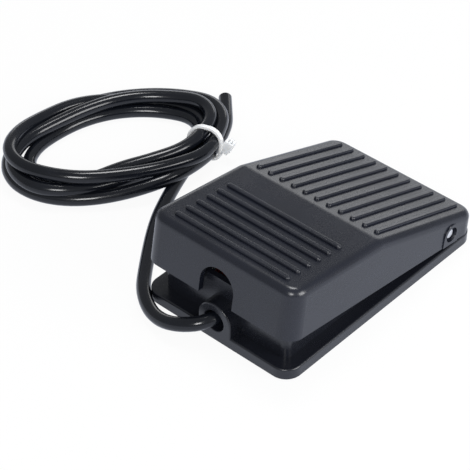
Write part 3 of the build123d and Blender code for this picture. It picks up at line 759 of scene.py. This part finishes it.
@dataclass
class TieBand:
    """The nylon tie round the coil: toothed strap, lock with its slot, trimmed stub."""

    middle: tuple[float, float, float] = (-68.48, 21.07, 6.32)
    out: tuple[float, float, float] = (0.941, 0.337, 0.0)
    wide: float = 13.8
    tall: float = 12.5
    corner_high: float = 6.0
    corner_low: float = 3.6
    thick: float = 0.95
    strap: float = 2.0
    tooth: float = 0.3
    border: float = 0.12
    step: float = 0.38
    lean: float = -12.0
    lock_size: tuple[float, float, float] = (3.4, 4.0, 4.9)
    lock_spot: tuple[float, float, float] = (8.3, 1.4, -0.2)
    lock_lean: float = 26.0

    def frame_of_tie(self) -> Matrix:
        """Return the turn and place of the tie: x out of the coil, y along the cord, z up."""
        x_dir = Vector(self.out).normalized()
        z_dir = Vector((0, 0, 1))
        y_dir = z_dir.cross(x_dir)
        turned = Matrix((x_dir, y_dir, z_dir)).transposed().to_4x4()
        leaning = Matrix.Rotation(math.radians(self.lean), 4, "X")
        return Matrix.Translation(Vector(self.middle) * MM) @ turned @ leaning

    def frame_of_lock(self, up: float = 0.0) -> Matrix:
        """Return the turn and place of the lock, or of a spot above its middle."""
        leaning = Matrix.Rotation(math.radians(self.lock_lean), 4, "Y")
        raised = Matrix.Translation(Vector((0, 0, up)) * MM)
        return self.frame_of_tie() @ Matrix.Translation(Vector(self.lock_spot) * MM) @ leaning @ raised

    def extrude_steps(self, direction: Vector, length: float) -> None:
        """Extrude the selected face straight on in short steps."""
        count = max(1, round(length / self.step))
        for _ in range(count):
            bpy.ops.mesh.extrude_region_move(
                TRANSFORM_OT_translate={"value": direction * (length / count) * MM}
            )

    def strap_loop(self) -> bpy.types.Object:
        """Extrude and spin a strap section round the bundle."""
        clear_selection()
        half_wide, half_tall, high, low = (
            size * MM for size in (self.wide / 2, self.tall / 2, self.corner_high, self.corner_low)
        )
        bpy.ops.mesh.primitive_plane_add(size=1.0, location=(0, 0, 0))
        strap = bpy.context.object
        strap.name = "tie_band"
        strap.scale = (self.thick * MM, self.strap * MM, 1.0)
        strap.location = (half_wide - self.thick / 2 * MM, 0, -half_tall + low)
        bpy.ops.object.transform_apply(location=True, rotation=True, scale=True)
        bpy.ops.object.mode_set(mode="EDIT")
        bpy.ops.mesh.select_mode(type="FACE")
        bpy.ops.mesh.select_all(action="SELECT")
        upright = self.tall - self.corner_high - self.corner_low
        across_top = self.wide - 2 * self.corner_high
        across_foot = self.wide - 2 * self.corner_low
        runs = (
            (Vector((0, 0, 1)), upright, (half_wide - high, half_tall - high), high),
            (Vector((-1, 0, 0)), across_top, (-half_wide + high, half_tall - high), high),
            (Vector((0, 0, -1)), upright, (-half_wide + low, -half_tall + low), low),
            (Vector((1, 0, 0)), across_foot, (half_wide - low, -half_tall + low), low),
        )
        for direction, length, (pivot_x, pivot_z), radius in runs:
            self.extrude_steps(direction, length)
            bpy.ops.mesh.spin(
                steps=round(radius * math.pi / 2 / (self.step * MM)),
                angle=math.radians(90),
                center=(pivot_x, 0, pivot_z),
                axis=(0, 1, 0),
            )
        bpy.ops.mesh.delete(type="ONLY_FACE")
        bpy.ops.mesh.select_all(action="SELECT")
        bpy.ops.mesh.remove_doubles(threshold=0.00001)
        bpy.ops.mesh.normals_make_consistent(inside=False)
        bpy.ops.object.mode_set(mode="OBJECT")
        return strap

    def cut_teeth(self, strap: bpy.types.Object) -> None:
        """Raise every other inner face of the strap into a tooth with plain edges beside it."""
        bpy.ops.object.mode_set(mode="EDIT")
        found = []

        def inner(spot: Vector, normal: Vector) -> bool:
            """Tell whether a face looks towards the loop's middle."""
            away = Vector((spot.x, 0, spot.z))
            return abs(normal.y) < 0.5 and normal.dot(away.normalized()) < -0.5

        pick(strap, inner)
        bpy.ops.mesh.inset(thickness=self.border * MM, use_individual=False, use_boundary=True)
        mesh = bmesh.from_edit_mesh(strap.data)
        for face in mesh.faces:
            if face.select:
                spot = face.calc_center_median()
                found.append((math.atan2(spot.z, spot.x), face))
        found.sort(key=lambda pair: pair[0])
        for index, (_, face) in enumerate(found):
            face.select_set(index % 2 == 0)
        bmesh.update_edit_mesh(strap.data)
        bpy.ops.mesh.extrude_region_shrink_fatten(
            TRANSFORM_OT_shrink_fatten={"value": self.tooth * MM, "use_even_offset": True}
        )
        bpy.ops.object.mode_set(mode="OBJECT")

    def lock(self) -> bpy.types.Object:
        """Return the lock: a bevelled block with a slot through it and a thumb ramp."""
        clear_selection()
        bpy.ops.mesh.primitive_cube_add(size=1.0, location=(0, 0, 0))
        lock = bpy.context.object
        lock.name = "tie_lock"
        lock.scale = Vector(self.lock_size) * MM
        bpy.ops.object.transform_apply(location=False, rotation=False, scale=True)
        bpy.ops.object.mode_set(mode="EDIT")
        pick(lock, lambda spot, normal: abs(normal.z) > 0.9)
        bpy.ops.mesh.inset(thickness=0.0009, use_individual=True)
        bpy.ops.mesh.extrude_region_move(TRANSFORM_OT_translate={"value": (0, 0, 0)})
        bpy.ops.transform.resize(value=(0.92, 0.92, 0.55))
        pick(lock, lambda spot, normal: normal.x > 0.9)
        bpy.ops.mesh.inset(thickness=0.0007, use_individual=True)
        bpy.ops.mesh.extrude_region_move(TRANSFORM_OT_translate={"value": (0.0003, 0, 0)})
        bpy.ops.object.mode_set(mode="OBJECT")
        lock.matrix_world = self.frame_of_lock()
        apply_modifier(lock, "BEVEL", {"width": 0.00028, "segments": 3, "limit_method": "ANGLE"})
        settle(lock)
        smooth(lock, 40)
        return lock

    def stub(self) -> bpy.types.Object:
        """Return the trimmed strap end that stands out above the lock."""
        clear_selection()
        bpy.ops.mesh.primitive_cube_add(size=1.0, location=(0, 0, 0))
        stub = bpy.context.object
        stub.name = "tie_stub"
        stub.scale = Vector((1.0, 2.3, 1.5)) * MM
        bpy.ops.object.transform_apply(location=False, rotation=False, scale=True)
        bpy.ops.object.mode_set(mode="EDIT")
        pick(stub, lambda spot, normal: normal.z > 0.9)
        bpy.ops.transform.resize(value=(0.8, 0.94, 1.0))
        bpy.ops.transform.translate(value=(0.0001, 0, 0.0002))
        bpy.ops.object.mode_set(mode="OBJECT")
        stub.matrix_world = self.frame_of_lock(self.lock_size[2] / 2 - 0.25)
        apply_modifier(stub, "BEVEL", {"width": 0.00012, "segments": 2})
        settle(stub)
        smooth(stub, 40)
        return stub

    def build(self, wardrobe: Wardrobe) -> list[bpy.types.Object]:
        """Make and dress the strap, the lock and the stub.

        Args:
            wardrobe: The finishes.

        Returns:
            The three pieces.
        """
        strap = self.strap_loop()
        self.cut_teeth(strap)
        strap.matrix_world = self.frame_of_tie()
        apply_modifier(strap, "BEVEL", {"width": 0.00006, "segments": 1, "limit_method": "ANGLE"})
        settle(strap)
        smooth(strap, 30)
        pieces = [strap, self.lock(), self.stub()]
        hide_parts("tie_strap")
        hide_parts("tie_head")
        for piece in pieces:
            wardrobe.dress(piece, "tie_nylon")
            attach(piece, Body.BASE.value)
        return pieces


@dataclass
class ReturnSpring:
    """The compression spring that lifts the pedal, wound as wire with closed ends."""

    axis: tuple[float, float] = (9.0 * MM, -21.1 * MM)
    foot: float = 3.15 * MM
    top: float = 29.7 * MM
    coil_radius: float = 4.5 * MM
    wire_radius: float = 0.5 * MM
    turns: int = 7
    keep: float = 0.753

    def build(self, wardrobe: Wardrobe) -> bpy.types.Object:
        """Wind the spring.

        Args:
            wardrobe: The finishes.

        Returns:
            The spring.
        """
        clear_selection()
        bpy.ops.mesh.primitive_circle_add(
            vertices=12,
            radius=self.wire_radius,
            fill_type="NGON",
            location=(self.coil_radius, 0, 0),
            rotation=(math.radians(90), 0, 0),
        )
        spring = bpy.context.object
        spring.name = "spring_coils"
        bpy.ops.object.transform_apply(location=True, rotation=True, scale=True)
        rise = self.top - self.foot - 2 * self.wire_radius
        settings = {
            "axis": "Z",
            "angle": math.radians(360 * self.turns),
            "screw_offset": rise,
            "steps": 24 * self.turns,
            "render_steps": 24 * self.turns,
            "iterations": 1,
        }
        apply_modifier(spring, "SCREW", settings)
        spring.location = (self.axis[0], self.axis[1], self.foot + self.wire_radius)
        settle(spring)
        smooth(spring, 50)
        wardrobe.dress(spring, "spring_steel")
        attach(spring, Body.BASE.value)
        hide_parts("return_spring")
        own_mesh(spring)
        return spring


# Studio


@dataclass(frozen=True)
class Camera:
    """The photograph's camera: azimuth, elevation and roll in degrees."""

    azimuth: float = 41.277
    elevation: float = 40.155
    roll: float = 0.759
    place: tuple[float, float, float] = (304.14, -386.31, 428.02)
    lens: float = 146.79
    sensor: float = 36.0

    def build(self) -> bpy.types.Object:
        """Make the camera and set it as the scene's own."""
        a, e, r = (math.radians(angle) for angle in (self.azimuth, self.elevation, self.roll))
        right = Vector((math.cos(a), math.sin(a), 0))
        up = Vector((-math.sin(a) * math.sin(e), math.cos(a) * math.sin(e), math.cos(e)))
        back = Vector((math.sin(a) * math.cos(e), -math.cos(a) * math.cos(e), math.sin(e)))
        x_dir = right * math.cos(r) + up * math.sin(r)
        y_dir = up * math.cos(r) - right * math.sin(r)
        turned = Matrix((x_dir, y_dir, back)).transposed().to_4x4()
        data = bpy.data.cameras.new("camera")
        data.lens = self.lens
        data.sensor_width = self.sensor
        data.clip_start = 0.01
        data.clip_end = 20.0
        camera = bpy.data.objects.new("camera", data)
        camera.matrix_world = Matrix.Translation(Vector(self.place) * MM) @ turned
        bpy.context.scene.collection.objects.link(camera)
        bpy.context.scene.camera = camera
        return camera


@dataclass(frozen=True)
class Studio:
    """Pale floor, pale surround and soft lamps."""

    floor_half: float = 3.0
    shown_white: float = 0.93
    mirrored_white: float = 0.8
    cool: tuple[float, float, float, float] = (0.82, 0.87, 1.0, 1.0)
    pale: tuple[float, float, float, float] = (0.93, 0.96, 1.0, 1.0)
    world: float = 0.36

    def lamp(self, name: str, place: tuple, size: tuple[float, float], power: float) -> None:
        """Add a rectangular soft lamp aimed at the object's middle."""
        data = bpy.data.lights.new(name, "AREA")
        data.shape = "RECTANGLE"
        data.size, data.size_y = size
        data.energy = power
        lamp = bpy.data.objects.new(name, data)
        aim = Vector((-0.02, 0.0, 0.01)) - Vector(place)
        lamp.rotation_euler = aim.to_track_quat("-Z", "Y").to_euler()
        lamp.location = place
        bpy.context.scene.collection.objects.link(lamp)

    def floor(self) -> None:
        """Lay a floor that the camera sees as near white, and that keeps shadows."""
        clear_selection()
        bpy.ops.mesh.primitive_plane_add(size=2 * self.floor_half, location=(0, 0, 0))
        floor = bpy.context.object
        floor.name = "floor"
        graph = Graph("floor_white")
        path = graph.node("ShaderNodeLightPath")
        camera, glossy, through = (
            Sock(graph, path.outputs[name])
            for name in ("Is Camera Ray", "Is Glossy Ray", "Is Transmission Ray")
        )
        matt = graph.node("ShaderNodeBsdfDiffuse", None, {"Color": (0.8, 0.8, 0.8, 1)})
        tint = graph.blend(camera, self.cool, (1, 1, 1, 1))
        glow = graph.node("ShaderNodeEmission", None, {"Color": tint, "Strength": 1.0})
        share = camera * self.shown_white + (glossy + through) * self.mirrored_white
        mixed = graph.node(
            "ShaderNodeMixShader",
            None,
            {0: share, 1: Sock(graph, matt.outputs[0]), 2: Sock(graph, glow.outputs[0])},
        )
        graph.node("ShaderNodeOutputMaterial", None, {"Surface": Sock(graph, mixed.outputs[0])})
        floor.data.materials.append(graph.material)

    def sky(self) -> None:
        """Surround the object with an even pale light that shows as white."""
        world = bpy.data.worlds.new("surround")
        bpy.context.scene.world = world
        world.use_nodes = True
        graph = Graph.of_tree(world.node_tree)
        path = graph.node("ShaderNodeLightPath")
        camera, through = (
            Sock(graph, path.outputs[name]) for name in ("Is Camera Ray", "Is Transmission Ray")
        )
        seen = graph.node("ShaderNodeMath", {"operation": "MAXIMUM"}, {0: camera, 1: through})
        shown = Sock(graph, seen.outputs[0])
        colour = graph.blend(shown, self.pale, (1, 1, 1, 1))
        strength = graph.between(shown, 0.0, 1.0, self.world, 1.0)
        light = graph.node("ShaderNodeBackground", None, {"Color": colour, "Strength": strength})
        graph.node("ShaderNodeOutputWorld", None, {"Surface": Sock(graph, light.outputs[0])})

    def build(self) -> None:
        """Set up floor, surround and lamps."""
        self.floor()
        self.sky()
        self.lamp("lamp_over", (-0.15, 0.25, 0.9), (0.3, 0.25), 3.5)
        self.lamp("lamp_right", (0.75, 0.15, 0.35), (0.5, 0.4), 6.0)
        self.lamp("lamp_back", (-0.6, 0.8, 0.2), (1.0, 0.2), 1.15)
        self.lamp("lamp_front", (0.45, -0.75, 0.6), (0.3, 0.3), 5.0)
        bpy.context.scene.view_settings.view_transform = "Standard"


def main() -> None:
    """Build the looks in order and report each piece."""
    Camera().build()
    wardrobe = Wardrobe()
    cord = Cord()
    cord.build(wardrobe)
    LOG.info("cord laid")
    LOG.info("dressed %d frame nodes", wardrobe.dress_frame())
    tie = TieBand().build(wardrobe)
    LOG.info("tie closed round the coil: %s", [piece.name for piece in tie])
    cut = CutEnd().build(cord, wardrobe)
    LOG.info("free end cut: %s", [piece.name for piece in cut])
    cord.declare(tie + cut)
    spring = ReturnSpring().build(wardrobe)
    LOG.info("spring wound: %s", spring.name)
    Studio().build()
    LOG.info("studio lit")
    bpy.context.view_layer.update()


if __name__ == "__main__":
    main()
